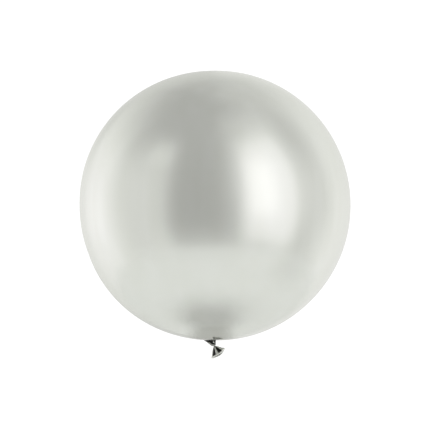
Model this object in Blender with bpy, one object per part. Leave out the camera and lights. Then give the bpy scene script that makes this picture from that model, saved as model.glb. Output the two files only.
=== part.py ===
"""A giant round latex balloon, blown up tight and tied off with an overhand knot.

Metres, +Z up. The origin is the middle of the blown-up skin, where the air's lift acts, and the
knot hangs below it. Run it with blender --background --python part.py, or from the text editor.

From the crown down the pieces are the skin, the gathered neck that leaves its pole, the knot's strand
that runs beside the neck and then goes round it, the flared tail below the knot, and the rolled rim
at the tail's mouth.
"""

import math

import bmesh
import bpy
from mathutils import Vector

MM = 0.001

# Pieces that touch on the real balloon lie this far apart.
GAP = 0.3 * MM

# The blown-up skin, a ball that is a little flatter at its crown and pole. Its shoulders, from its
# middle up to near the crown, are a little fuller than the ball.
SKIN_DIAMETER = 0.600
SKIN_HEIGHT = 0.597
SHOULDER_TOP = math.radians(80)
SHOULDER_GROWTH = 0.0052
SKIN_WALL = 0.8 * MM
SKIN_MERIDIANS = 60
SKIN_BANDS = 30
THROAT_RADIUS = 2.5 * MM
POLE_Z = -SKIN_HEIGHT / 2

# The knot lies under the skin's pole, and the latex goes through it aslant, so the tail leaves it to
# the right.
KNOT = Vector((-0.6 * MM, 0.0, POLE_Z - 12.3 * MM))
KNOT_SLANT = math.radians(24)
BUNDLE_RADIUS = 1.3 * MM
ACROSS = Vector((math.cos(KNOT_SLANT), 0.0, math.sin(KNOT_SLANT)))
ONWARD = Vector((math.sin(KNOT_SLANT), 0.0, -math.cos(KNOT_SLANT)))
TOWARD_BACK = Vector((0.0, 1.0, 0.0))

# The neck is solid folds of latex. Its left side is drawn out over the skin's pole and its right
# side drops almost straight. Under the skin it starts with rings that follow the skin's curve.
NECK_PLEATS = 8
NECK_TOP_SHARES = (0.30, 0.65, 1.00)
# columns, in mm: left edge's x and drop below the pole, right edge's x and drop, half depth, and
# the pleats' depth as a share
NECK_SECTIONS = (
    (-20.6, 0.0, 3.0, 0.0, 8.0, 0.08),
    (-17.4, 1.4, 3.0, 2.0, 7.0, 0.10),
    (-11.1, 4.0, 2.8, 4.4, 5.4, 0.14),
    (-5.8, 7.0, 2.4, 7.0, 3.6, 0.12),
)
NECK_INTO_KNOT = 2.6 * MM

# The knot's strand comes down beside the neck, swells as it crosses the front of the bundle, goes
# round behind it and tucks in under itself.
# columns, in mm: x, y and z from the knot's middle, and the strand's radius
STRAND_POINTS = (
    (-22.9, 0.0, 12.1, 0.6),
    (-18.4, -1.2, 9.8, 1.3),
    (-13.0, -2.8, 6.9, 2.0),
    (-8.2, -4.2, 3.6, 2.6),
    (-4.6, -4.8, 0.7, 2.6),
    (-0.4, -4.6, -0.2, 2.1),
    (2.9, -2.3, 1.5, 1.4),
    (3.0, 1.0, 2.6, 1.2),
    (0.9, 3.5, 1.9, 1.3),
    (-2.2, 3.9, 0.0, 1.5),
    (-3.7, 2.3, -1.2, 1.3),
    (-3.8, 1.0, -1.5, 0.7),
)

# The tail fans out from the knot. Its ends are drawn back, the right one more, and its front hangs a
# little short of its back.
TAIL_PLEATS = 4
TAIL_WALL = 0.8 * MM
TAIL_TILT = math.tan(math.radians(18))
# columns, in mm: way from the knot, half width, half depth, draw-back at the left end and at the
# right end, and the pleats' depth as a share
TAIL_SECTIONS = (
    (2.8, 1.5, 1.5, 0.0, 0.0, 0.00),
    (4.8, 4.2, 2.6, 0.7, 1.1, 0.06),
    (8.6, 7.7, 3.8, 1.1, 1.7, 0.16),
    (12.6, 10.7, 4.7, 1.3, 3.7, 0.20),
    (16.6, 13.4, 5.3, 0.8, 5.6, 0.16),
    (20.4, 15.6, 5.8, 0.0, 7.4, 0.08),
)
TAIL_HOLLOW_FROM = 2

# The rolled rim at the tail's mouth.
RIM_RADIUS = 1.6 * MM

POINTS_PER_RING = 48
TUBE_BEVEL_STEPS = 4
STRAND_STEPS = 5

# Latex with a metallic pearl pigment: its colour, roughness and metallic value. Blown up it is thin
# and pale, and where it is gathered and unstretched it is darker and more like a mirror.
BLOWN_LATEX = ((0.66, 0.67, 0.64), 0.30, 0.60)
GATHERED_LATEX = ((0.30, 0.31, 0.29), 0.26, 0.85)


def clear_scene():
    """Starts from an empty scene."""
    for old in list(bpy.data.objects):
        bpy.data.objects.remove(old, do_unlink=True)


def latex(name, colour, roughness, metallic):
    """One piece's own latex."""
    material = bpy.data.materials.new(name)
    material.use_nodes = True
    shader = material.node_tree.nodes["Principled BSDF"]
    shader.inputs["Base Color"].default_value = (*colour, 1.0)
    shader.inputs["Roughness"].default_value = roughness
    shader.inputs["Metallic"].default_value = metallic
    return material


def add_piece(name, data, finish):
    """Puts a mesh or a curve in the scene as one named piece of latex."""
    data.materials.append(latex(f"{name}_latex", *finish))
    piece = bpy.data.objects.new(name, data)
    bpy.context.scene.collection.objects.link(piece)
    return piece


def loft(name, rings):
    """A mesh skinned over rings of points and capped at both ends, shaded smooth."""
    work = bmesh.new()
    loops = [[work.verts.new(point) for point in ring] for ring in rings]
    for one, other in zip(loops, loops[1:]):
        for i in range(len(one)):
            j = (i + 1) % len(one)
            work.faces.new((one[i], one[j], other[j], other[i]))
    work.faces.new(loops[0])
    work.faces.new(loops[-1])
    bmesh.ops.recalc_face_normals(work, faces=work.faces)
    mesh = bpy.data.meshes.new(name)
    work.to_mesh(mesh)
    work.free()
    mesh.shade_smooth()
    mesh.set_sharp_from_angle(angle=math.radians(60))
    return mesh


def tube(name, points, radii, closed):
    """A round tube along a smooth line near the points. It is a ring, or has closed ends."""
    curve = bpy.data.curves.new(name, "CURVE")
    curve.dimensions = "3D"
    curve.bevel_depth = 1.0
    curve.bevel_resolution = TUBE_BEVEL_STEPS
    curve.use_fill_caps = not closed
    curve.resolution_u = 1 if closed else STRAND_STEPS
    spline = curve.splines.new("POLY" if closed else "NURBS")
    spline.points.add(len(points) - 1)
    for knob, point, radius in zip(spline.points, points, radii):
        knob.co = (*point, 1.0)
        knob.radius = radius
    spline.use_cyclic_u = closed
    spline.use_endpoint_u = not closed
    spline.order_u = 3
    return curve


def pleated_ring(centre, wide, deep, pleats, pleat_depth):
    """A section of gathered latex: an oval that reaches out by wide and deep, waved by its pleats."""
    points = []
    for i in range(POINTS_PER_RING):
        turn = math.tau * i / POINTS_PER_RING
        wave = (1.0 + pleat_depth * math.cos(pleats * turn)) / (1.0 + pleat_depth)
        points.append(centre + wave * (math.cos(turn) * wide + math.sin(turn) * deep))
    return points


def skin_profile():
    """The skin's half outline: down its outside from crown to throat, and back up its inside."""
    radius = SKIN_DIAMETER / 2
    half_height = SKIN_HEIGHT / 2
    throat = math.pi - math.asin(THROAT_RADIUS / radius)
    outside = []
    for i in range(SKIN_BANDS + 1):
        angle = throat * i / SKIN_BANDS
        latitude = math.pi / 2 - angle
        growth = 1.0
        if 0.0 < latitude < SHOULDER_TOP:
            growth += SHOULDER_GROWTH * math.sin(math.pi * latitude / SHOULDER_TOP)
        outside.append((growth * radius * math.sin(angle), growth * half_height * math.cos(angle)))
    shrunk = (radius - SKIN_WALL) / radius
    inside = [(shrunk * x, shrunk * z) for x, z in reversed(outside)]
    return outside + inside


def make_skin():
    """The blown-up skin: a thin wall turned about Z, open only at the throat that the neck closes."""
    profile = skin_profile()
    mesh = bpy.data.meshes.new("skin")
    edges = [(i, i + 1) for i in range(len(profile) - 1)]
    mesh.from_pydata([(x, 0.0, z) for x, z in profile], edges, [])
    skin = add_piece("skin", mesh, BLOWN_LATEX)
    turned = skin.modifiers.new("turned", "SCREW")
    turned.axis = "Z"
    turned.angle = math.tau
    turned.steps = SKIN_MERIDIANS
    turned.render_steps = SKIN_MERIDIANS
    turned.use_merge_vertices = True
    turned.merge_threshold = 0.01 * MM
    turned.use_smooth_shade = True


def under_skin(point):
    """The place just below the skin at a point's x and y."""
    share = point.xy.length / (SKIN_DIAMETER / 2)
    return Vector((point.x, point.y, POLE_Z * math.sqrt(1.0 - share**2) - GAP))


def make_neck():
    """The gathered neck, a pleated cone from under the skin's pole into the knot."""
    rings = []
    for left_x, left_drop, right_x, right_drop, half_depth, pleat_depth in NECK_SECTIONS:
        left = Vector((left_x * MM, 0.0, POLE_Z - left_drop * MM))
        right = Vector((right_x * MM, 0.0, POLE_Z - right_drop * MM))
        centre = (left + right) / 2
        wide = (right - left) / 2
        deep = half_depth * MM * TOWARD_BACK
        if rings:
            rings.append(pleated_ring(centre, wide, deep, NECK_PLEATS, pleat_depth))
            continue
        for share in NECK_TOP_SHARES:
            top = pleated_ring(centre, share * wide, share * deep, NECK_PLEATS, pleat_depth)
            rings.append([under_skin(point) for point in top])
    for way in (-NECK_INTO_KNOT, -GAP / 2):
        centre = KNOT + way * ONWARD
        rings.append(pleated_ring(centre, BUNDLE_RADIUS * ACROSS, BUNDLE_RADIUS * TOWARD_BACK, 1, 0.0))
    add_piece("neck", loft("neck", rings), GATHERED_LATEX)


def make_knot():
    """The knot's strand, which pinches the bundle that goes through it."""
    points = [KNOT + Vector(row[:3]) * MM for row in STRAND_POINTS]
    radii = [row[3] * MM for row in STRAND_POINTS]
    add_piece("knot", tube("knot", points, radii, closed=False), GATHERED_LATEX)


def tail_ring(way, half_width, half_depth, left_back, right_back, pleat_depth, inset=0.0):
    """One section of the fan, all in mm but the inset. Its ends lie back toward the knot."""
    centre = KNOT + way * MM * ONWARD
    wide = (half_width * MM - inset) * ACROSS
    deep = (half_depth * MM - inset) * TOWARD_BACK
    points = []
    for point in pleated_ring(centre, wide, deep, TAIL_PLEATS, pleat_depth):
        off = (point - centre).dot(ACROSS) / (half_width * MM)
        draw_back = left_back if off < 0.0 else right_back
        forward = TAIL_TILT * point.y * way / TAIL_SECTIONS[-1][0] - draw_back * MM * off**2
        points.append(point + forward * ONWARD)
    return points


def make_tail():
    """The flared tail: solid where the knot pinches it, and a pleated, open-mouthed film below."""
    start = pleated_ring(
        KNOT + GAP / 2 * ONWARD, BUNDLE_RADIUS * ACROSS, BUNDLE_RADIUS * TOWARD_BACK, 1, 0.0
    )
    outside = [tail_ring(*section) for section in TAIL_SECTIONS]
    hollow = TAIL_SECTIONS[TAIL_HOLLOW_FROM:]
    inside = [tail_ring(*section, inset=TAIL_WALL) for section in reversed(hollow)]
    add_piece("tail", loft("tail", [start] + outside + inside), GATHERED_LATEX)


def make_rim():
    """The rolled rim, a bead of latex along the tail's mouth. It lies where the film runs on to."""
    before, mouth = [tail_ring(*section, inset=TAIL_WALL / 2) for section in TAIL_SECTIONS[-2:]]
    drop = RIM_RADIUS + GAP + TAIL_WALL / 4
    line = [point + drop * (point - above).normalized() for above, point in zip(before, mouth)]
    add_piece("rim", tube("rim", line, [RIM_RADIUS] * len(line), closed=True), GATHERED_LATEX)


def main():
    clear_scene()
    make_skin()
    make_neck()
    make_knot()
    make_tail()
    make_rim()


main()
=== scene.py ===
# %% [markdown]
# # A giant round balloon
# The solids of this balloon are already packed: a thin skin, the neck, the knot, the tail and its rim.
# They are right in size and place, but they are plain. This lesson dresses them: it models each piece
# again with the folds and film that the real one has, gives it its latex, and lights it in a studio.
# The first step loads them. The dressed balloon has to stay in the box that the solids fill, so the
# first step measures that box.

# %% Load the imported solids
import math

import bmesh
import bpy
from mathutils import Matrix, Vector
from mathutils.bvhtree import BVHTree


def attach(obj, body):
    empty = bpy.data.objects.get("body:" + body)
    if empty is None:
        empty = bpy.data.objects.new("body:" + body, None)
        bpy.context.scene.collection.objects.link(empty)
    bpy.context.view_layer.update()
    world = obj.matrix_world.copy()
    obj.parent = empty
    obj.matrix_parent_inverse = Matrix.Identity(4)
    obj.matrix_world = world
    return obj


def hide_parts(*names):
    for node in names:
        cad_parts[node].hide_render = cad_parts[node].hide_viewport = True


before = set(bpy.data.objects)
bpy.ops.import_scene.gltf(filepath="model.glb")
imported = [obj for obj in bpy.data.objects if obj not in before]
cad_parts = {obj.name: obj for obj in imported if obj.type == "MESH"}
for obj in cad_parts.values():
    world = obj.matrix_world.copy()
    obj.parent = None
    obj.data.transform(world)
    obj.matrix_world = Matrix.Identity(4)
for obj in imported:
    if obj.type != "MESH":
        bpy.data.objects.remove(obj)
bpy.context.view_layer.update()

MM = 0.001
# vertices that lie closer together than this are merged
WELD = 0.01 * MM
print("solids:", sorted(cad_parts))

# %% [markdown]
# ## Working by selection
# In the window a maker clicks on what is to be moved. A script has no mouse, so it selects by rule.
# Everything is deselected before a primitive is added, because the loaded solids are still selected and
# an operator would take them too. Four helpers do the rest. One names the new primitive and opens it in
# edit mode. One selects vertices by a test of their place, and one by number. The last one gives the
# numbers of what is selected, which is how a ring that was just extruded is found again.

# %% Helpers for selecting


def start_piece(name):
    """Names the primitive that was just added and opens it in edit mode, all of it selected."""
    piece = bpy.context.active_object
    piece.name = name
    piece.data.name = name
    bpy.ops.object.mode_set(mode="EDIT")
    bpy.ops.mesh.select_all(action="SELECT")
    return piece


def pick(test):
    """In edit mode, selects the vertices whose place passes the test, and returns how many."""
    work = bmesh.from_edit_mesh(bpy.context.edit_object.data)
    bpy.ops.mesh.select_all(action="DESELECT")
    for vertex in work.verts:
        vertex.select = test(vertex.co)
    work.select_flush_mode()
    bmesh.update_edit_mesh(bpy.context.edit_object.data)
    return sum(vertex.select for vertex in work.verts)


def pick_numbers(numbers):
    """In edit mode, selects the vertices with these numbers."""
    work = bmesh.from_edit_mesh(bpy.context.edit_object.data)
    bpy.ops.mesh.select_all(action="DESELECT")
    work.verts.ensure_lookup_table()
    for number in numbers:
        work.verts[number].select = True
    work.select_flush_mode()
    bmesh.update_edit_mesh(bpy.context.edit_object.data)


def picked():
    """The numbers of the vertices that are selected in edit mode."""
    work = bmesh.from_edit_mesh(bpy.context.edit_object.data)
    work.verts.index_update()
    return [vertex.index for vertex in work.verts if vertex.select]


bpy.ops.object.select_all(action="DESELECT")
bpy.ops.mesh.primitive_circle_add(vertices=8, radius=0.1)
trial = start_piece("trial")
print("helpers: the right half of an 8 point ring has", pick(lambda place: place.x > 0.001), "points")
bpy.ops.object.mode_set(mode="OBJECT")
bpy.data.objects.remove(trial)

# %% [markdown]
# ## The skin
# The blown-up skin is a dipped latex bag, stretched to 60 cm by the air in it. It is close to a ball,
# with shoulders a little fuller than an ellipse above its middle, a lower half that bulges a touch to
# the left, and fine gathers round its pole, where the film runs into the neck. It could be a sculpted
# ball, or a profile that is spun. A UV sphere is used, because its rings are lines of latitude: each
# ring can be picked by its height, scaled and moved a touch, and the gathers are meridians near the
# pole, pushed inwards.

# %% Add the ball and flatten it
SKIN_RADIUS = 300 * MM
SKIN_HALF_HEIGHT = 298.5 * MM
SKIN_MERIDIANS = 192
SKIN_RINGS = 128

bpy.ops.object.select_all(action="DESELECT")
bpy.ops.mesh.primitive_uv_sphere_add(
    segments=SKIN_MERIDIANS, ring_count=SKIN_RINGS, radius=SKIN_RADIUS, calc_uvs=False
)
skin = start_piece("skin_film")
bpy.ops.transform.resize(value=(1.0, 1.0, SKIN_HALF_HEIGHT / SKIN_RADIUS))
print("skin: a ball of", len(skin.data.vertices), "vertices")

# %% Fill out its halves
# degrees of latitude from one ring to the next, and how close to a ring's height its vertices are
RING_STEP = 180 / SKIN_RINGS
RING_HEIGHT = 0.1 * MM
# columns: 1 for the upper half and -1 for the lower, the latitudes that its bulge starts and ends at,
# growth as a share of the radius, and shift along X in mm
HALVES = (
    (1, 0, 90, 0.0066, -1.2),
    (-1, 20, 89, 0.0048, -2.4),
)

for side, start, end, growth, shift in HALVES:
    for ring in range(math.ceil(start / RING_STEP) + 1, int(end / RING_STEP)):
        latitude = ring * RING_STEP
        height = side * SKIN_HALF_HEIGHT * math.sin(math.radians(latitude))
        swell = math.sin(math.pi * (latitude - start) / (end - start))
        pick(lambda place: abs(place.z - height) < RING_HEIGHT)
        grown = 1.0 + growth * swell
        bpy.ops.transform.resize(value=(grown, grown, grown), center_override=(0.0, 0.0, 0.0))
        bpy.ops.transform.translate(value=(shift * swell * MM, 0.0, 0.0))
    print("skin: a half grown by up to", round(growth * SKIN_RADIUS / MM, 1), "mm")

# %% Gather the film round the pole
GATHER_FOLDS = 24
GATHER_RINGS = 7
GATHER_DEPTH = 0.35 * MM
# how close a vertex lies to its ring's distance from the axis
RING_BAND = 2 * MM
# columns: half width of a pass as a share of a fold, and its share of the depth, which add up to a wave
GATHER_PASSES = (
    (0.38, 0.15),
    (0.26, 0.35),
    (0.13, 0.35),
    (0.05, 0.15),
)


def in_a_valley(place, reach, width):
    """True in the middle of each fold, on the ring that lies this far from the axis."""
    if place.z > 0.0 or abs(place.xy.length - reach) > RING_BAND:
        return False
    turn = math.atan2(place.y, place.x) / math.tau * GATHER_FOLDS
    return abs(turn - round(turn)) < width


gathered = 0
for ring in range(1, GATHER_RINGS):
    reach = SKIN_RADIUS * math.sin(math.radians(ring * RING_STEP))
    depth = GATHER_DEPTH * (1.0 - ring / GATHER_RINGS)
    for width, share in GATHER_PASSES:
        gathered += pick(lambda place: in_a_valley(place, reach, width))
        bpy.ops.transform.translate(value=(0.0, 0.0, depth * share))
bpy.ops.object.mode_set(mode="OBJECT")
bpy.ops.object.shade_smooth()
print("skin:", gathered, "pushes made", GATHER_FOLDS, "gathers")

# %% [markdown]
# ## The neck
# Below the pole the unstretched film is gathered into folds, wide on the left, where the knot pulls on
# it, and almost straight down on the right. Cloth simulation could crumple it, but folds that all run
# to one knot are simpler as a ring that is extruded downwards. Every second vertex of the ring is drawn
# inwards to make a valley, and Subdivision Surface rounds the zigzag into folds.

# %% Extruding a gathered ring
POLE_Z = -SKIN_HALF_HEIGHT
SMOOTH_LEVELS = 3


def gather(middle, change):
    """Draws every second vertex of the selected ring in or out by one factor. Returns the ring."""
    ring = picked()
    pick_numbers(ring[1::2])
    bpy.ops.transform.resize(value=(change, change, 1.0), center_override=middle)
    pick_numbers(ring)
    return ring


def gathered_tube(name, points, turned, sections):
    """An open tube of rings. Each section is (x, z, half width, half depth, valley depth), in mm."""
    bpy.ops.object.select_all(action="DESELECT")
    bpy.ops.mesh.primitive_circle_add(vertices=points, radius=1.0)
    tube = start_piece(name)
    bpy.ops.transform.rotate(value=math.radians(turned), orient_axis="Z", center_override=(0, 0, 0))
    x, z, width, depth, valley = sections[0]
    bpy.ops.transform.resize(value=(width * MM, depth * MM, 1.0), center_override=(0, 0, 0))
    bpy.ops.transform.translate(value=(x * MM, 0.0, z * MM))
    rings = [gather((x * MM, 0.0, z * MM), 1.0 - valley)]
    for section in sections[1:]:
        move = ((section[0] - x) * MM, 0.0, (section[1] - z) * MM)
        bpy.ops.mesh.extrude_edges_move(TRANSFORM_OT_translate={"value": move})
        middle = (section[0] * MM, 0.0, section[1] * MM)
        scale = (section[2] / width, section[3] / depth, 1.0)
        bpy.ops.transform.resize(value=scale, center_override=middle)
        change = (1.0 - section[4]) / (1.0 - valley)
        x, z, width, depth, valley = section
        rings.append(gather(middle, change))
    return tube, rings


def finish_film(piece, levels, rings=()):
    """Leaves edit mode, marks how open the folds lie for the shade painted into their valleys, and
    rounds the piece with Subdivision Surface.
    """
    bpy.ops.mesh.select_all(action="SELECT")
    bpy.ops.mesh.remove_doubles(threshold=WELD)
    bpy.ops.mesh.normals_make_consistent(inside=False)
    bpy.ops.object.mode_set(mode="OBJECT")
    # ridges get openness 1 and valleys 0, and the gathered latex paints shade where it is low
    openness = piece.data.attributes.new("openness", "FLOAT", "POINT")
    for ring in rings:
        for number in ring[::2]:
            openness.data[number].value = 1.0
    rounded = piece.modifiers.new("rounded", "SUBSURF")
    rounded.levels = levels
    rounded.render_levels = levels
    bpy.ops.object.modifier_apply(modifier=rounded.name)
    bpy.ops.object.shade_smooth()
    print(f"{piece.name}:", len(piece.data.vertices), "vertices")


# %% Model the neck
# the knot's middle, in mm
KNOT = Vector((-2.1, 0.0, POLE_Z / MM - 11.0))
NECK_POINTS = 12
# degrees that the ring is turned by, so that its folds come where they are on the real neck
NECK_TURN = 30.0
# columns, in mm: left edge's x, right edge's x, drop below the pole, half depth, valley depth
NECK_ROWS = (
    (-25.6, 3.6, -1.2, 9.6, 0.04),
    (-24.0, 3.0, 0.2, 8.0, 0.14),
    (-21.0, 3.0, 2.0, 6.8, 0.26),
    (-15.4, 3.0, 4.6, 5.2, 0.36),
    (-9.4, 2.4, 7.5, 3.4, 0.36),
    (-5.3, 0.4, 9.6, 2.0, 0.20),
    (-3.4, -0.8, 11.2, 1.3, 0.10),
)

neck, neck_rings = gathered_tube(
    "neck_folds",
    NECK_POINTS,
    NECK_TURN,
    [
        ((left + right) / 2, POLE_Z / MM - drop, (right - left) / 2, depth, valley)
        for left, right, drop, depth, valley in NECK_ROWS
    ],
)
bpy.ops.mesh.edge_face_add()
pick_numbers(neck_rings[0])
bpy.ops.mesh.edge_face_add()
finish_film(neck, SMOOTH_LEVELS, neck_rings)

# %% [markdown]
# ## The tail
# Below the knot the balloon's own neck fans out again, as wide as it was dipped. It is film, open at
# its mouth. It is modelled like the neck, as a gathered tube pointing straight down, and its ends are
# then drawn back, the right one more, by moving the ring's vertices one at a time. Solidify gives the
# film its thickness. Last the whole tail is turned to the slant that it leaves the knot at.

# %% Model the tail pointing straight down
TAIL_POINTS = 12
TAIL_TURN = 8.0
# the mouth's slope from front to back, which shows a little of its inside from the front
TAIL_TILT = math.tan(math.radians(18))
TAIL_FILM = 0.5 * MM
# degrees by which the tail leans to the right
KNOT_SLANT = 24
# columns, in mm: way from the knot, shift to the right, half width, half depth, left and right
# draw-back, and valley depth as a share of the ring
TAIL_ROWS = (
    (-0.8, 0.0, 1.0, 1.0, 0.0, 0.0, 0.05),
    (2.8, 0.0, 1.7, 1.6, 0.0, 0.0, 0.14),
    (5.0, 0.2, 5.4, 2.9, 0.7, 2.1, 0.30),
    (9.0, 0.4, 9.6, 4.2, 1.1, 3.5, 0.42),
    (13.4, 0.6, 13.2, 5.4, 1.3, 5.8, 0.40),
    (18.0, 0.8, 16.4, 6.2, 0.8, 8.3, 0.30),
    (22.0, 1.0, 19.0, 6.5, 0.0, 10.6, 0.14),
)

tail, tail_rings = gathered_tube(
    "tail_film",
    TAIL_POINTS,
    TAIL_TURN,
    [(shift, -way, width, depth, valley) for way, shift, width, depth, _, _, valley in TAIL_ROWS],
)
pick_numbers(tail_rings[0])
bpy.ops.mesh.edge_face_add()
for ring, (way, shift, width, _, left_back, right_back, _) in zip(tail_rings, TAIL_ROWS):
    for number in ring:
        place = bmesh.from_edit_mesh(tail.data).verts[number].co.copy()
        off = (place.x / MM - shift) / width
        back = (left_back if off < 0.0 else right_back) * MM * off**2
        back -= TAIL_TILT * place.y * way / TAIL_ROWS[-1][0]
        pick_numbers([number])
        bpy.ops.transform.translate(value=(0.0, 0.0, back))
finish_film(tail, SMOOTH_LEVELS, tail_rings)

# %% [markdown]
# ## The rim
# The mouth of a balloon is rolled up into a bead before it comes off its mould. The bead has to follow
# the mouth wherever it goes, so it is made from the mouth's own edge: that loop is copied off the tail,
# turned into a curve, and given a round bevel. The tail gets its thickness only after that.

# %% Copy the mouth and roll it into a bead
RIM_RADIUS = 1.6 * MM
RIM_DROP = 1.5 * MM
RIM_ROUNDNESS = 4

bpy.ops.object.mode_set(mode="EDIT")
bpy.ops.mesh.select_mode(type="EDGE")
bpy.ops.mesh.select_all(action="DESELECT")
bpy.ops.mesh.select_non_manifold(extend=False, use_wire=False, use_boundary=True)
bpy.ops.mesh.duplicate()
bpy.ops.transform.translate(value=(0.0, 0.0, -RIM_DROP))
bpy.ops.mesh.separate(type="SELECTED")
bpy.ops.mesh.select_mode(type="VERT")
bpy.ops.object.mode_set(mode="OBJECT")
rim = next(piece for piece in bpy.context.selected_objects if piece != tail)
rim.name = "rim_bead"
bpy.ops.object.select_all(action="DESELECT")
rim.select_set(True)
bpy.context.view_layer.objects.active = rim
bpy.ops.object.convert(target="CURVE")
rim.data.bevel_depth = RIM_RADIUS
rim.data.bevel_resolution = RIM_ROUNDNESS
bpy.ops.object.convert(target="MESH")
bpy.ops.object.shade_smooth()
print("rim:", len(rim.data.polygons), "faces along the mouth")

# %% Give the tail its film and turn both to the slant
bpy.ops.object.select_all(action="DESELECT")
tail.select_set(True)
bpy.context.view_layer.objects.active = tail
film = tail.modifiers.new("film", "SOLIDIFY")
film.thickness = TAIL_FILM
film.offset = 0.0
bpy.ops.object.modifier_apply(modifier=film.name)
for piece in (tail, rim):
    bpy.ops.object.select_all(action="DESELECT")
    piece.select_set(True)
    bpy.context.view_layer.objects.active = piece
    piece.rotation_euler = (0.0, -math.radians(KNOT_SLANT), 0.0)
    piece.location = KNOT * MM
    bpy.ops.object.transform_apply(location=True, rotation=True, scale=True)
print("tail: lowest point", round(min(v.co.z for v in rim.data.vertices) / MM, 1), "mm")

# %% [markdown]
# ## The knot's strand
# The overhand knot is one strand of folded film that comes down beside the neck, swells over the front
# of the bundle, goes round behind it and tucks in. A curve is the natural way: its points give the way,
# their radii the thickness, and a second curve, a wavy ring, is swept along it as its section, which
# leaves folds that run along the strand.

# %% Draw the strand's wavy section
STRAND_FOLDS = 7
STRAND_FOLD_DEPTH = 0.22
SECTION_LEVELS = 2

bpy.ops.object.select_all(action="DESELECT")
bpy.ops.mesh.primitive_circle_add(vertices=2 * STRAND_FOLDS, radius=1.0)
section = start_piece("strand_section")
pick_numbers(range(1, 2 * STRAND_FOLDS, 2))
bpy.ops.transform.resize(value=(1.0 - STRAND_FOLD_DEPTH,) * 3, center_override=(0.0, 0.0, 0.0))
finish_film(section, SECTION_LEVELS)
section_points = len(section.data.vertices)
bpy.ops.object.convert(target="CURVE")

# %% Sweep it along the strand's way
# columns, in mm: x, y and z from the knot's middle, and the strand's radius
STRAND_ROWS = (
    (-22.9, 0.0, 12.1, 0.6),
    (-18.4, -1.2, 9.8, 1.3),
    (-13.0, -2.8, 6.9, 2.0),
    (-8.2, -4.2, 3.6, 2.6),
    (-4.6, -4.8, 0.7, 2.6),
    (-0.4, -4.6, -0.2, 2.1),
    (2.9, -2.3, 1.5, 1.4),
    (3.0, 1.0, 2.6, 1.2),
    (0.9, 3.5, 1.9, 1.3),
    (-2.2, 3.9, 0.0, 1.5),
    (-3.7, 2.3, -1.2, 1.3),
    (-3.8, 1.0, -1.5, 0.7),
)

bpy.ops.object.select_all(action="DESELECT")
bpy.ops.curve.primitive_nurbs_path_add()
strand = bpy.context.active_object
strand.name = "knot_strand"
way = strand.data.splines[0]
way.points.add(len(STRAND_ROWS) - len(way.points))
for knob, (x, y, z, radius) in zip(way.points, STRAND_ROWS):
    knob.co = (*((KNOT + Vector((x, y, z))) * MM), 1.0)
    knob.radius = radius * MM
way.order_u = 3
way.use_endpoint_u = True
way.resolution_u = 8
strand.data.bevel_mode = "OBJECT"
strand.data.bevel_object = section
strand.data.use_fill_caps = True
bpy.ops.object.convert(target="MESH")
bpy.ops.object.transform_apply(location=True, rotation=True, scale=True)
bpy.ops.object.shade_smooth()
print("strand: swept past", len(STRAND_ROWS), "points")

# %% Mark the strand's ridges for the shade painted into its folds, and close its seam
# openness half way up the strand's folds, and how much it rises to a ridge and falls to a valley, which
# the shader paints as shade
STRAND_OPENNESS = 0.62
STRAND_OPENNESS_SWING = 0.38

openness = strand.data.attributes.new("openness", "FLOAT", "POINT")
for number, mark in enumerate(openness.data):
    wave = math.cos(math.tau * STRAND_FOLDS * number / section_points)
    mark.value = STRAND_OPENNESS + STRAND_OPENNESS_SWING * wave
bpy.ops.object.mode_set(mode="EDIT")
bpy.ops.mesh.select_all(action="SELECT")
bpy.ops.mesh.remove_doubles(threshold=WELD)
bpy.ops.mesh.normals_make_consistent(inside=False)
bpy.ops.object.mode_set(mode="OBJECT")
bpy.data.objects.remove(section)
print("strand:", len(strand.data.polygons), "faces")

# %% [markdown]
# ## Adding nodes
# Every finish below is a handful of shader nodes. One function adds any of them: it sets the node's own
# settings, and fills each input with a number, or with the output of another node that feeds it. An
# input goes by its name, or by its number where several share a name. A Mix node takes its factor at 0
# and its colours at 6 and 7, and gives the mixed colour at output 2. A Map Range node takes a value at
# 0, the range it comes from at 1 and 2, and the range it goes to at 3 and 4, which is 0 to 1 if nothing
# is said. A Math node takes its numbers at 0, 1 and 2. A second function turns a colour as it is written
# on screen, in sRGB, into the linear light that nodes expect.

# %% One function for every node


def add_node(tree, kind, inputs=None, **settings):
    """Adds a node. Its inputs, by name or number, are values or the outputs that feed them."""
    made = tree.nodes.new(kind)
    for name, value in settings.items():
        setattr(made, name, value)
    for name, value in (inputs or {}).items():
        if isinstance(value, bpy.types.NodeSocket):
            tree.links.new(value, made.inputs[name])
        else:
            made.inputs[name].default_value = value
    return made


def linear(code):
    """An sRGB colour such as #D8D9D2 as linear red, green, blue and alpha."""
    shares = [int(code[i : i + 2], 16) / 255 for i in (1, 3, 5)]
    return (*[s / 12.92 if s <= 0.04045 else ((s + 0.055) / 1.055) ** 2.4 for s in shares], 1.0)


def new_material(name):
    """An empty material with its Principled shader, and its node tree."""
    material = bpy.data.materials.new(name)
    material.use_nodes = True
    return material, material.node_tree, material.node_tree.nodes["Principled BSDF"]


print("mid grey #808080 is", round(linear("#808080")[0], 3), "of full light")

# %% [markdown]
# ## Stretched pearl latex
# The skin is natural rubber latex with a mica and metal pigment. Dipped thick and then stretched, its
# flakes lie flat, so it reflects the room like a satin mirror, while the thin rubber between them
# scatters some light and lifts the darks. That is a Principled shader that is mostly metallic, with a
# warm grey colour and a roughness near 0.25. The real grain of the flakes is 0.1 mm, too fine to
# show from here, so it is drawn 3 mm wide and very faint. The pigment also ran down while it dried,
# which leaves long pale streaks from crown to pole, and where the form's tip was dipped first, the
# crown keeps a small spot of thicker, darker film.

# %% Paint the skin's streaks and crown
PEARL_LIGHT = "#E5E7E0"
PEARL_DARK = "#E2E4DC"
CROWN_TONE = "#C8CAC4"
CROWN_DEPTH = 1.2 * MM
# a streak is 40 mm wide and about eight times as long, because its height is squeezed to this share
STREAK_WIDTH = 40 * MM
STREAK_STRETCH = 0.12
STREAK_RANGE = (0.3, 0.7)

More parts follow.
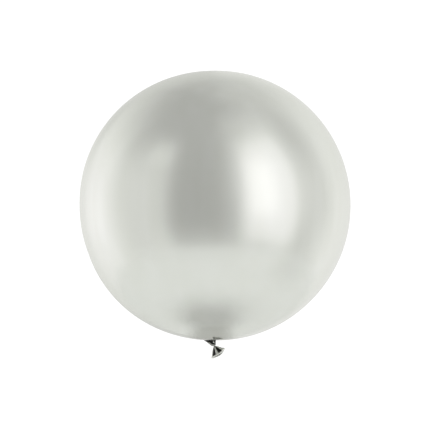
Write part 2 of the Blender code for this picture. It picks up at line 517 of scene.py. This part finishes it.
stretched, tree, shader = new_material("stretched_pearl_latex")
place = add_node(tree, "ShaderNodeTexCoord").outputs["Object"]
squeezed = add_node(
    tree, "ShaderNodeVectorMath", {0: place, 1: (1.0, 1.0, STREAK_STRETCH)}, operation="MULTIPLY"
)
streaks = add_node(
    tree,
    "ShaderNodeTexNoise",
    {"Vector": squeezed.outputs[0], "Scale": 1 / STREAK_WIDTH, "Detail": 3.0},
)
tone = add_node(
    tree,
    "ShaderNodeMapRange",
    {0: streaks.outputs["Fac"], 1: STREAK_RANGE[0], 2: STREAK_RANGE[1]},
)
colour = add_node(
    tree,
    "ShaderNodeMix",
    {0: tone.outputs[0], 6: linear(PEARL_DARK), 7: linear(PEARL_LIGHT)},
    data_type="RGBA",
)
height = add_node(tree, "ShaderNodeSeparateXYZ", {0: place}).outputs[2]
crown = add_node(
    tree,
    "ShaderNodeMapRange",
    {0: height, 1: SKIN_HALF_HEIGHT - CROWN_DEPTH, 2: SKIN_HALF_HEIGHT},
    interpolation_type="SMOOTHSTEP",
)
spotted = add_node(
    tree,
    "ShaderNodeMix",
    {0: crown.outputs[0], 6: colour.outputs[2], 7: linear(CROWN_TONE)},
    data_type="RGBA",
)
tree.links.new(spotted.outputs[2], shader.inputs["Base Color"])
print("skin: streaks", round(STREAK_WIDTH / MM), "mm wide")

# %% Give the skin its gloss and grain
FLAKE_WIDTH = 3 * MM
FLAKE_ROUGHNESS = 0.04
GRAIN_STRENGTH = 0.08
GRAIN_HEIGHT = 0.02 * MM
# near the pole the film is stretched less and its pigment lies closer, so it is a better mirror there
POLE_ROUGHNESS = 0.10
SKIN_ROUGHNESS = 0.24
POLE_REACH = 60 * MM
# the flakes are metal, and the thin rubber between them is not
PIGMENT_METAL = 0.85
RUBBER_IOR = 1.52
PEARL_SHEEN = "#ECECEA"

flakes = add_node(
    tree, "ShaderNodeTexNoise", {"Vector": place, "Scale": 1 / FLAKE_WIDTH, "Detail": 2.0}
)
gloss = add_node(
    tree,
    "ShaderNodeMapRange",
    {0: height, 1: POLE_Z, 2: POLE_Z + POLE_REACH, 3: POLE_ROUGHNESS, 4: SKIN_ROUGHNESS},
    interpolation_type="SMOOTHSTEP",
)
satin = add_node(
    tree,
    "ShaderNodeMath",
    {0: flakes.outputs["Fac"], 1: FLAKE_ROUGHNESS, 2: gloss.outputs[0]},
    operation="MULTIPLY_ADD",
)
tree.links.new(satin.outputs[0], shader.inputs["Roughness"])
grain = add_node(
    tree,
    "ShaderNodeBump",
    {"Height": flakes.outputs["Fac"], "Strength": GRAIN_STRENGTH, "Distance": GRAIN_HEIGHT},
)
tree.links.new(grain.outputs[0], shader.inputs["Normal"])
shader.inputs["Metallic"].default_value = PIGMENT_METAL
shader.inputs["Specular Tint"].default_value = linear(PEARL_SHEEN)
shader.inputs["IOR"].default_value = RUBBER_IOR
skin.data.materials.clear()
skin.data.materials.append(stretched)
print("skin: flakes", round(FLAKE_WIDTH / MM), "mm wide, roughness from", POLE_ROUGHNESS, "at the pole")

# %% [markdown]
# ## Gathered pearl latex
# Where the film was never blown up it is ten times as thick and full of pigment. It mirrors the room
# harder, and between its folds hardly any light gets out again, so that shade is painted into its
# colour.
# An ambient occlusion node could find the folds, but it costs many rays. Here each vertex keeps a number
# instead, its openness: the ridges of the rings were marked with 1 while they were modelled, Subdivision
# Surface spread that down into the valleys, and below it fades as painted contact shade wherever another
# piece lies close. The shader reads it to go from near black painted shade in a crease to pale grey on a
# ridge.

# %% Paint shade where pieces touch
# columns: piece, its neighbours, and how far off a neighbour still shades it
SHADED_CONTACTS = (
    (neck, (skin, strand), 4.0 * MM),
    (tail, (strand,), 1.6 * MM),
    (strand, (skin, neck), 1.6 * MM),
)


def paint_contact_shade(piece, neighbours, reach):
    """Paints contact shade: lowers the openness of each vertex that lies within reach of a neighbouring
    piece.
    """
    graph = bpy.context.evaluated_depsgraph_get()
    trees = [BVHTree.FromObject(other, graph) for other in neighbours]
    for vertex, mark in zip(piece.data.vertices, piece.data.attributes["openness"].data):
        nearest = min(tree.find_nearest(vertex.co)[3] for tree in trees)
        mark.value *= min(1.0, nearest / reach)


for piece, neighbours, reach in SHADED_CONTACTS:
    paint_contact_shade(piece, neighbours, reach)
    marks = sorted(mark.value for mark in piece.data.attributes["openness"].data)
    print(f"{piece.name}: openness", round(marks[0], 2), "to", round(marks[-1], 2))

# %% Paint the gathered pieces, with shade painted into their creases
# near black painted shade for a deep crease, and the film's own colour on a ridge
PAINTED_CREASE_SHADE = "#1B1C1A"
RIDGE = "#DCDDD6"
GATHERED_ROUGHNESS = 0.22
# the thick film's pigment is uneven: how wide its clouds are, and how much they shift the openness
MOTTLE_WIDTH = 2 * MM
MOTTLE_SHARE = 0.2
# the openness that is fully painted crease shade, and the openness that is fully a ridge
SHADE_RANGE = (0.33, 0.83)

gathered_latex, tree, shader = new_material("gathered_pearl_latex_painted_shade")
openness = add_node(tree, "ShaderNodeAttribute", attribute_name="openness")
place = add_node(tree, "ShaderNodeTexCoord").outputs["Object"]
mottle = add_node(
    tree, "ShaderNodeTexNoise", {"Vector": place, "Scale": 1 / MOTTLE_WIDTH, "Detail": 3.0}
)
shift = add_node(
    tree,
    "ShaderNodeMath",
    {0: mottle.outputs["Fac"], 1: MOTTLE_SHARE, 2: -MOTTLE_SHARE / 2},
    operation="MULTIPLY_ADD",
)
level = add_node(
    tree, "ShaderNodeMath", {0: openness.outputs["Fac"], 1: shift.outputs[0]}, operation="ADD"
)
shade = add_node(
    tree,
    "ShaderNodeMapRange",
    {0: level.outputs[0], 1: SHADE_RANGE[0], 2: SHADE_RANGE[1]},
    interpolation_type="SMOOTHSTEP",
)
colour = add_node(
    tree,
    "ShaderNodeMix",
    {0: shade.outputs[0], 6: linear(PAINTED_CREASE_SHADE), 7: linear(RIDGE)},
    data_type="RGBA",
)
tree.links.new(colour.outputs[2], shader.inputs["Base Color"])
shader.inputs["Metallic"].default_value = PIGMENT_METAL
shader.inputs["Roughness"].default_value = GATHERED_ROUGHNESS
shader.inputs["IOR"].default_value = RUBBER_IOR
for piece in (neck, tail, strand):
    piece.data.materials.clear()
    piece.data.materials.append(gathered_latex)
print("gathered latex on", neck.name, tail.name, strand.name)

# %% [markdown]
# ## Rolled pearl latex
# The rim was rolled up by brushes while the film was still wet, so it is a solid bead of latex, smoother
# and paler than the folds above it. It could share their finish, but it has no creases to darken. So it
# gets a plain satin one, with faint clouds of pigment that are 3 mm wide.

# %% Paint the rim
BEAD = "#ECECE6"
BEAD_METAL = 0.75
BEAD_ROUGHNESS = 0.25
BEAD_MOTTLE_WIDTH = 3 * MM

rolled_latex, tree, shader = new_material("rolled_pearl_latex")
place = add_node(tree, "ShaderNodeTexCoord").outputs["Object"]
mottle = add_node(
    tree, "ShaderNodeTexNoise", {"Vector": place, "Scale": 1 / BEAD_MOTTLE_WIDTH, "Detail": 3.0}
)
colour = add_node(
    tree,
    "ShaderNodeMix",
    {0: mottle.outputs["Fac"], 6: linear(RIDGE), 7: linear(BEAD)},
    data_type="RGBA",
)
tree.links.new(colour.outputs[2], shader.inputs["Base Color"])
shader.inputs["Metallic"].default_value = BEAD_METAL
shader.inputs["Roughness"].default_value = BEAD_ROUGHNESS
shader.inputs["IOR"].default_value = RUBBER_IOR
rim.data.materials.clear()
rim.data.materials.append(rolled_latex)
print("rolled latex on", rim.name)

# %% [markdown]
# ## Tell the model what each piece is
# Each new piece rides on the balloon's one body and takes the place of the solid that it dresses.

# %% Ride and replace
DRESSED = (
    (skin, "skin", "blown_latex"),
    (neck, "neck", "gathered_latex"),
    (strand, "knot", "gathered_latex"),
    (tail, "tail", "gathered_latex"),
    (rim, "rim", "gathered_latex"),
)
for piece, node, slot in DRESSED:
    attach(piece, "root")
    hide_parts(node)
print("dressed:", ", ".join(node for _, node, _ in DRESSED))

# %% [markdown]
# ## The floor
# A pale paper floor lies 1.1 m below the balloon's middle and catches its soft shadow. Towards its edge
# it turns as white as the background, like a studio sweep. The outer part is only there for the camera:
# in the skin it would look like a white horizon that a real room doesn't have. Paper fibres are too
# fine to show from here, so they are drawn 17 mm long and very faint.

# %% Paint the paper
FLOOR_RADIUS = 1.8
# the paper has turned wholly white at this many times its radius
SWEEP_BLEND = 2.4
PAPER_LIGHT = "#E0E1E1"
PAPER_DARK = "#DDDEDE"
FIBRE_LENGTH = 17 * MM
WHITE = "#FFFFFF"
BACKGROUND_WHITE = 1.1

paper, tree, shader = new_material("white_paper_floor")
place = add_node(tree, "ShaderNodeTexCoord").outputs["Object"]
flat_place = add_node(
    tree, "ShaderNodeVectorMath", {0: place, 1: (1.0, 1.0, 0.0)}, operation="MULTIPLY"
)
reach = add_node(tree, "ShaderNodeVectorMath", {0: flat_place.outputs[0]}, operation="LENGTH")
sweep = add_node(
    tree,
    "ShaderNodeMapRange",
    {0: reach.outputs["Value"], 1: FLOOR_RADIUS, 2: SWEEP_BLEND * FLOOR_RADIUS},
    interpolation_type="SMOOTHSTEP",
)
fibres = add_node(
    tree, "ShaderNodeTexNoise", {"Vector": place, "Scale": 1 / FIBRE_LENGTH, "Detail": 4.0}
)
tint = add_node(
    tree,
    "ShaderNodeMix",
    {0: fibres.outputs["Fac"], 6: linear(PAPER_DARK), 7: linear(PAPER_LIGHT)},
    data_type="RGBA",
)
tree.nodes.remove(shader)
sheet = add_node(tree, "ShaderNodeBsdfDiffuse", {"Color": tint.outputs[2]})
glow = add_node(
    tree, "ShaderNodeEmission", {"Color": linear(WHITE), "Strength": BACKGROUND_WHITE}
)
top = add_node(
    tree, "ShaderNodeMixShader", {0: sweep.outputs[0], 1: sheet.outputs[0], 2: glow.outputs[0]}
)
below = add_node(tree, "ShaderNodeBsdfTransparent")
side = add_node(tree, "ShaderNodeNewGeometry").outputs["Backfacing"]
both = add_node(tree, "ShaderNodeMixShader", {0: side, 1: top.outputs[0], 2: below.outputs[0]})
tree.links.new(both.outputs[0], tree.nodes["Material Output"].inputs["Surface"])
print("paper: wholly white from", round(SWEEP_BLEND * FLOOR_RADIUS, 2), "m outwards")

# %% Lay the floor
FLOOR_DROP = 1.1
SWEEP_RADIUS = 30.0
FLOOR_SIDES = 96
# width of the narrow ring that is inset along the floor's edge
FLOOR_EDGE = 0.02

bpy.ops.object.select_all(action="DESELECT")
bpy.ops.mesh.primitive_circle_add(
    vertices=FLOOR_SIDES, radius=FLOOR_RADIUS, fill_type="NGON", location=(0.0, 0.0, -FLOOR_DROP)
)
floor = start_piece("paper_floor")
bpy.ops.mesh.select_all(action="SELECT")
bpy.ops.mesh.inset(thickness=FLOOR_EDGE)
bpy.ops.object.mode_set(mode="OBJECT")
bpy.ops.object.select_all(action="DESELECT")
bpy.ops.mesh.primitive_circle_add(
    vertices=FLOOR_SIDES, radius=FLOOR_RADIUS, location=(0.0, 0.0, -FLOOR_DROP)
)
apron = start_piece("paper_sweep")
bpy.ops.mesh.extrude_edges_move()
bpy.ops.transform.resize(value=(SWEEP_RADIUS / FLOOR_RADIUS, SWEEP_RADIUS / FLOOR_RADIUS, 1.0))
bpy.ops.mesh.select_all(action="SELECT")
bpy.ops.mesh.normals_make_consistent(inside=False)
bpy.ops.object.mode_set(mode="OBJECT")
apron.visible_diffuse = False
apron.visible_glossy = False
apron.visible_shadow = False
for piece in (floor, apron):
    piece.data.materials.append(paper)
    if piece.data.polygons[0].normal.z < 0.0:
        piece.data.flip_normals()
print("floor: radius", FLOOR_RADIUS, "m, a drop of", FLOOR_DROP, "m, sweep to", SWEEP_RADIUS, "m")

# %% [markdown]
# ## Painted shadows on the floor
# Above its knot the skin mirrors a dark cup on a stem, with a faint dark spot to the right, which are
# shade on the floor. Dark cards in the air would do that, but paint on the floor also looks right when
# the camera moves. So three sheets of grey paper with soft edges lie as painted shadows where the skin
# mirrors them to those places. Only the skin sees them, and the floor stays plain in the picture.

# %% Make painted shadows of grey paper with soft edges
# the tones of the painted shadows
PAINTED_SHADOW_LIGHT = "#ACACAA"
PAINTED_SHADOW_DARK = "#A8A8A6"
SHEET_ROUGHNESS = 0.9


def edge_ramp(tree, place, half, edge):
    """1 in the middle of a sheet and 0 outside, along one axis of the sheet's own coordinates."""
    away = add_node(tree, "ShaderNodeMath", {0: place}, operation="ABSOLUTE")
    ramp = add_node(
        tree,
        "ShaderNodeMapRange",
        {0: away.outputs[0], 1: half - edge, 2: half + edge, 3: 1.0, 4: 0.0},
        interpolation_type="SMOOTHSTEP",
    )
    return ramp.outputs[0]


def painted_shadow_paper(name, half_x, half_y, edge_x, edge_y, cover):
    """Painted shadow: grey paper that fades out towards the sheet's edges, and is this opaque in its
    middle.
    """
    material, tree, shader = new_material(f"painted_shadow_paper_{name}")
    place = add_node(tree, "ShaderNodeTexCoord").outputs["Object"]
    fibres = add_node(
        tree, "ShaderNodeTexNoise", {"Vector": place, "Scale": 1 / FIBRE_LENGTH, "Detail": 4.0}
    )
    tint = add_node(
        tree,
        "ShaderNodeMix",
        {0: fibres.outputs["Fac"], 6: linear(PAINTED_SHADOW_DARK), 7: linear(PAINTED_SHADOW_LIGHT)},
        data_type="RGBA",
    )
    tree.links.new(tint.outputs[2], shader.inputs["Base Color"])
    shader.inputs["Roughness"].default_value = SHEET_ROUGHNESS
    along = add_node(tree, "ShaderNodeSeparateXYZ", {0: place})
    across = edge_ramp(tree, along.outputs[0], half_x, edge_x)
    lengthwise = edge_ramp(tree, along.outputs[1], half_y, edge_y)
    both_ways = add_node(
        tree, "ShaderNodeMath", {0: across, 1: lengthwise}, operation="MULTIPLY"
    )
    opacity = add_node(
        tree, "ShaderNodeMath", {0: both_ways.outputs[0], 1: cover}, operation="MULTIPLY"
    )
    tree.links.new(opacity.outputs[0], shader.inputs["Alpha"])
    return material


# the tones printed here are those of the painted shadows
print("grey paper: tones", PAINTED_SHADOW_DARK, "to", PAINTED_SHADOW_LIGHT)

# %% Lay the painted shadows
SHEET_LIFT = 2 * MM
# columns of each painted shadow, in metres: name, middle's x and y, half width, half length, how soft
# the two edges are, and the share that the sheet covers
PAINTED_SHADOWS = (
    # the cup and the stem are painted shadow below and behind the balloon, the side one painted shadow
    # to its front right
    ("cup_painted_shadow", -0.05, 0.12, 0.26, 0.31, 0.12, 0.24, 0.54),
    ("stem_painted_shadow", -0.02, 1.89, 0.16, 1.51, 0.09, 0.22, 0.90),
    ("side_painted_shadow", 1.34, -0.16, 0.36, 0.36, 0.36, 0.36, 0.34),
)

for lift, (name, x, y, half_x, half_y, edge_x, edge_y, cover) in enumerate(PAINTED_SHADOWS, start=1):
    bpy.ops.object.select_all(action="DESELECT")
    bpy.ops.mesh.primitive_plane_add(size=2.0)
    painted_shadow_sheet = start_piece(name)
    bpy.ops.transform.resize(
        value=(half_x + edge_x, half_y + edge_y, 1.0), center_override=(0.0, 0.0, 0.0)
    )
    bpy.ops.object.mode_set(mode="OBJECT")
    painted_shadow_sheet.location = (x, y, lift * SHEET_LIFT - FLOOR_DROP)
    painted_shadow_sheet.data.materials.append(painted_shadow_paper(name, half_x, half_y, edge_x, edge_y, cover))
    painted_shadow_sheet.visible_camera = False
    painted_shadow_sheet.visible_shadow = False
    painted_shadow_sheet.visible_diffuse = False
    print(f"{name}:", round(2 * half_x, 2), "by", round(2 * half_y, 2), "m")

# %% [markdown]
# ## The studio
# A shiny ball is lit by what it reflects, so lamps alone would leave it black with a few bright dots.
# It gets a whole room of soft light instead: white walls on the left and behind, a duller wall in front
# left, a tall softbox on the right, and a dark gap where the front of the room is. Each is a window of
# light with soft edges, placed by its bearing from the balloon, with 0 at the front and the right side
# above 0. One that takes light away is a dark card. The room gives no shadow, so one real lamp, wide
# and almost overhead, throws a soft one on the floor. The camera sees plain white behind the balloon.

# %% List the windows of light
# columns: name, from bearing, to bearing, edge, from elevation, to elevation, lower edge, upper edge,
# in degrees, and how much light it adds, or takes away if it is a dark card
WINDOWS = (
    ("left wall", -190, -101, 7, -95, 40, 5, 27, 0.63),
    ("left wall's bright middle", -142, -106, 10, -18, 14, 16, 24, 0.22),
    ("card high behind left", -190, -150, 10, 12, 60, 8, 14, -0.12),
    ("card behind left", -190, -144, 8, 10, 24, 6, 8, -0.12),
    ("card low behind left", -190, -145, 10, -60, -12, 8, 8, -0.08),
    ("card beside the stem, left", -190, -166, 8, -26, -4, 5, 5, -0.22),
    ("glow high behind left", -190, -158, 7, 38, 70, 6, 8, 0.10),
    ("front wall", -101, -41, 7, -95, 38, 5, 24, 0.39),
    ("corner of the two walls", -104, -84, 8, -95, 15, 5, 25, 0.12),
    ("small softbox, front left", -66, -43, 6, 30, 47, 6, 6, 0.26),
    ("foot of the dark gap", -52, 8, 12, -95, -22, 5, 8, 0.13),
    ("card left of the softbox's foot", 8, 24, 6, -26, 2, 6, 8, -0.06),
    ("softbox", 23, 74, 6, -29, 52, 9, 8, 0.45),
    ("softbox's bright middle", 28, 55, 8, -9, 38, 11, 14, 0.41),
    ("softbox's bright foot", 32, 57, 7, -27, -15, 4, 5, 0.09),
    ("softbox's round corner", 20, 36, 7, 40, 62, 8, 8, -0.12),
    ("glow above the softbox", 24, 95, 14, 47, 66, 10, 10, 0.14),
    ("card under the softbox", 66, 90, 8, -60, -10, 8, 14, -0.10),
    ("card right of the softbox", 84, 112, 10, 20, 60, 12, 12, -0.08),
    ("right half of the room", 10, 190, 12, -95, 78, 5, 10, 0.18),
    ("right wall", 60, 190, 10, -95, 36, 5, 18, 0.17),
    ("right wall's low glow", 96, 118, 9, -30, -8, 8, 8, 0.09),
    ("back wall, right", 113, 190, 14, -95, 42, 5, 26, 0.20),
    ("back wall's bright foot", 118, 190, 12, -70, 8, 10, 14, 0.10),
    ("back wall's high glow", 124, 150, 8, 30, 52, 8, 8, 0.06),
    ("card high behind right", 172, 190, 8, 38, 70, 6, 8, -0.07),
    ("card beside the stem, right", 170, 190, 6, -22, -4, 5, 5, -0.15),
)
lightest = max(WINDOWS, key=lambda window: window[-1])
print("studio:", len(WINDOWS), "windows, the", lightest[0], "adds most")

# %% Turn each direction into a bearing and an elevation
world = bpy.data.worlds.new("studio")
bpy.context.scene.world = world
world.use_nodes = True
tree = world.node_tree
tree.nodes.clear()
outwards = add_node(tree, "ShaderNodeTexCoord").outputs["Generated"]
parts = add_node(tree, "ShaderNodeSeparateXYZ", {0: outwards})
front = add_node(tree, "ShaderNodeMath", {0: parts.outputs[1], 1: -1.0}, operation="MULTIPLY")
bearing = add_node(
    tree, "ShaderNodeMath", {0: parts.outputs[0], 1: front.outputs[0]}, operation="ARCTAN2"
)
elevation = add_node(tree, "ShaderNodeMath", {0: parts.outputs[2]}, operation="ARCSINE")
print("studio:", bearing.operation, "gives the bearing,", elevation.operation, "the elevation")

# %% Add the windows up
ROOM_LIGHT = 0.43

light = ROOM_LIGHT
for _, left, right, edge, low, high, low_edge, high_edge, strength in WINDOWS:
    share = strength
    for angle, at, soft, sign in (
        (bearing, left, edge, 1),
        (bearing, right, edge, -1),
        (elevation, low, low_edge, 1),
        (elevation, high, high_edge, -1),
    ):
        start, end = math.radians(at - sign * soft), math.radians(at + sign * soft)
        ends = {1: start, 2: end, 3: 0.0, 4: 1.0} if sign > 0 else {1: end, 2: start, 3: 1.0, 4: 0.0}
        ramp = add_node(
            tree, "ShaderNodeMapRange", {0: angle.outputs[0], **ends}, interpolation_type="SMOOTHSTEP"
        )
        share = add_node(
            tree, "ShaderNodeMath", {0: share, 1: ramp.outputs[0]}, operation="MULTIPLY"
        ).outputs[0]
    light = add_node(tree, "ShaderNodeMath", {0: light, 1: share}, operation="ADD").outputs[0]
print("studio:", len(tree.nodes), "nodes")

# %% Tint the light, and show the camera plain white
# the brightest windows are lamps behind cloth, a touch cooler than a wall. The white changes from one
# to the other between these two amounts of light
WALL_LIGHT = 1.0
BRIGHT_LIGHT = 1.2
COOL_WHITE = "#FDFBFF"

brightness = add_node(tree, "ShaderNodeMapRange", {0: light, 1: WALL_LIGHT, 2: BRIGHT_LIGHT})
tint = add_node(
    tree,
    "ShaderNodeMix",
    {0: brightness.outputs[0], 6: linear(WHITE), 7: linear(COOL_WHITE)},
    data_type="RGBA",
)
room = add_node(tree, "ShaderNodeBackground", {"Color": tint.outputs[2], "Strength": light})
backdrop = add_node(
    tree, "ShaderNodeBackground", {"Color": linear(WHITE), "Strength": BACKGROUND_WHITE}
)
seen = add_node(tree, "ShaderNodeLightPath").outputs["Is Camera Ray"]
mixed = add_node(
    tree, "ShaderNodeMixShader", {0: seen, 1: room.outputs[0], 2: backdrop.outputs[0]}
)
add_node(tree, "ShaderNodeOutputWorld", {"Surface": mixed.outputs[0]})
print("studio: the camera sees a white of", BACKGROUND_WHITE)

# %% Hang the lamp
LAMP_ELEVATION = 84
LAMP_WIDTH = 40
LAMP_LIGHT = 1.8
LAMP_HEIGHT = 4.0

bpy.ops.object.light_add(type="SUN", location=(0.0, 0.0, LAMP_HEIGHT))
lamp = bpy.context.active_object
lamp.name = "top_lamp"
lamp.data.energy = LAMP_LIGHT
lamp.data.angle = math.radians(LAMP_WIDTH)
lamp.rotation_euler = (math.radians(90 - LAMP_ELEVATION), 0.0, 0.0)
# the skin doesn't mirror the lamp, which would leave bright specks in it
lamp.data.cycles.use_multiple_importance_sampling = False
lamp.visible_glossy = False
lamp.visible_camera = False
print("lamp:", LAMP_WIDTH, "degrees wide, from", LAMP_ELEVATION, "degrees up")

# %% [markdown]
# ## The camera
# The picture was taken level with the balloon's middle and from far off, because the ball shows no
# perspective at all. A long lens 6 m away does the same. The balloon's middle is a touch above the
# middle of the picture, so the camera is a touch lower than the balloon and looks straight ahead.

# %% Place the camera
PICTURE_SIDE = 430
# where the balloon lies in the picture, in pixels: its width, and its middle from the top left
BALLOON_ACROSS = 271.2
BALLOON_MIDDLE = (215.05, 205.6)
CAMERA_DISTANCE = 6.0
# width of the camera's sensor, in mm
SENSOR = 36.0
FAR_CLIP = 100.0

outline = SKIN_RADIUS / math.sqrt(1.0 - (SKIN_RADIUS / CAMERA_DISTANCE) ** 2)
metres_a_pixel = 2 * outline / BALLOON_ACROSS
bpy.ops.object.camera_add(rotation=(math.radians(90), 0.0, 0.0))
camera = bpy.context.active_object
camera.name = "front_camera"
camera.location = (
    (PICTURE_SIDE / 2 - BALLOON_MIDDLE[0]) * metres_a_pixel,
    -CAMERA_DISTANCE,
    (BALLOON_MIDDLE[1] - PICTURE_SIDE / 2) * metres_a_pixel,
)
camera.data.sensor_width = SENSOR
camera.data.lens = SENSOR * CAMERA_DISTANCE / (PICTURE_SIDE * metres_a_pixel)
camera.data.clip_end = FAR_CLIP
bpy.context.scene.camera = camera
# colours come out as they are, without the look of a film
bpy.context.scene.view_settings.view_transform = "Standard"
print("camera: a", round(camera.data.lens), "mm lens")
